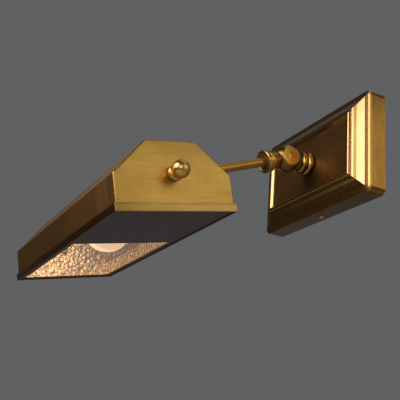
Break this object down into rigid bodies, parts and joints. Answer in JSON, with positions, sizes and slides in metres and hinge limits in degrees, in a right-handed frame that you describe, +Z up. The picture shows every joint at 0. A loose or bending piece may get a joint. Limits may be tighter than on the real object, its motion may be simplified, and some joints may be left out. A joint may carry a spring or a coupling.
{
  "type": "picture light",
  "caption": "Wall picture light: long trapezoidal brass shade with end knobs on a double-knuckle arm and a moulded rectangular wall plate.",
  "frame": {"origin": "centre of the face that rests on the wall", "axes": "+Y into the wall, +Z up, +X along the shade towards the end that holds the lampholder"},
  "size_m": [0.3034, 0.2859, 0.2055],
  "materials": {
    "brushed_brass": "antique brass, brushed",
    "dark_bronze": "antique bronze lacquer on brass sheet",
    "polished_brass": "polished",
    "hammered_aluminium": "hammered, bright",
    "zinc_steel": "zinc plated",
    "nickel_cap": "satin",
    "frosted_glass": "frosted",
    "moulded_holder": "moulded, off-white",
    "black_sheath": "matt",
    "brown_sheath": "matt",
    "blue_sheath": "matt"
  },
  "bodies": {
    "wall_mount": {"wall_plate": "dark_bronze", "wall_bracket": "zinc_steel", "plate_stiffener": "zinc_steel", "plate_screw_top": "polished_brass", "plate_screw_bottom": "polished_brass", "terminal_block": "moulded_holder", "block_screw": "zinc_steel", "terminal_screw_left": "zinc_steel", "terminal_screw_right": "zinc_steel", "earth_screw": "polished_brass", "supply_lead_brown": "brown_sheath", "supply_lead_blue": "blue_sheath", "wall_bead": "brushed_brass"},
    "swivel": {"swivel_knuckle": "brushed_brass", "wall_nipple": "zinc_steel", "wall_nut": "zinc_steel", "wall_washer": "zinc_steel"},
    "arm": {"arm_knuckle_wall": "brushed_brass", "arm_tube": "brushed_brass", "arm_cable": "black_sheath", "arm_knuckle_shade": "brushed_brass", "wall_pivot_screw": "polished_brass", "wall_pivot_nut": "polished_brass", "wall_friction_washer": "zinc_steel", "shade_pivot_screw": "polished_brass", "shade_pivot_nut": "polished_brass", "shade_friction_washer": "zinc_steel"},
    "shade": {"end_cap_right": "brushed_brass", "end_cap_left": "brushed_brass", "shade_knuckle": "brushed_brass", "shade_bead": "brushed_brass", "shade_body": "dark_bronze", "bottom_tray": "dark_bronze", "bracket_rivet_1": "dark_bronze", "bracket_rivet_2": "dark_bronze", "tray_screw_right": "polished_brass", "tray_screw_left": "polished_brass", "reflector_trough": "hammered_aluminium", "reflector_far_end": "hammered_aluminium", "reflector_near_end": "hammered_aluminium", "shade_nipple": "zinc_steel", "shade_nut": "zinc_steel", "shade_washer": "zinc_steel", "knob_right_screw": "zinc_steel", "knob_left_screw": "zinc_steel", "lampholder_bracket": "zinc_steel", "lampholder_stem": "zinc_steel", "lampholder_nut": "zinc_steel", "lamp_cap": "nickel_cap", "lamp_globe": "frosted_glass", "lampholder": "moulded_holder", "lamp_lead_brown": "brown_sheath", "lamp_lead_blue": "blue_sheath"},
    "knob_right_body": {"knob_right": "polished_brass"},
    "knob_left_body": {"knob_left": "polished_brass"}
  },
  "joints": [
    {"name": "arm_swivel", "type": "hinge", "parent": "wall_mount", "child": "swivel", "pos_m": [0, -0.0546, 0], "axis": [0, 1, 0], "range_deg": [-45, 45]},
    {"name": "arm_tilt", "type": "hinge", "parent": "swivel", "child": "arm", "pos_m": [0, -0.0546, 0], "axis": [1, 0, 0], "range_deg": [-45, 45]},
    {"name": "shade_tilt", "type": "hinge", "parent": "arm", "child": "shade", "pos_m": [0, -0.19961, -0.06146], "axis": [1, 0, 0], "range_deg": [-60, 45]},
    {"name": "knob_right_turn", "type": "hinge", "parent": "shade", "child": "knob_right_body", "pos_m": [0.1329, -0.23859, -0.10956], "axis": [1, 0, 0], "continuous": true},
    {"name": "knob_left_turn", "type": "hinge", "parent": "shade", "child": "knob_left_body", "pos_m": [-0.1329, -0.23859, -0.10956], "axis": [1, 0, 0], "continuous": true}
  ]
}
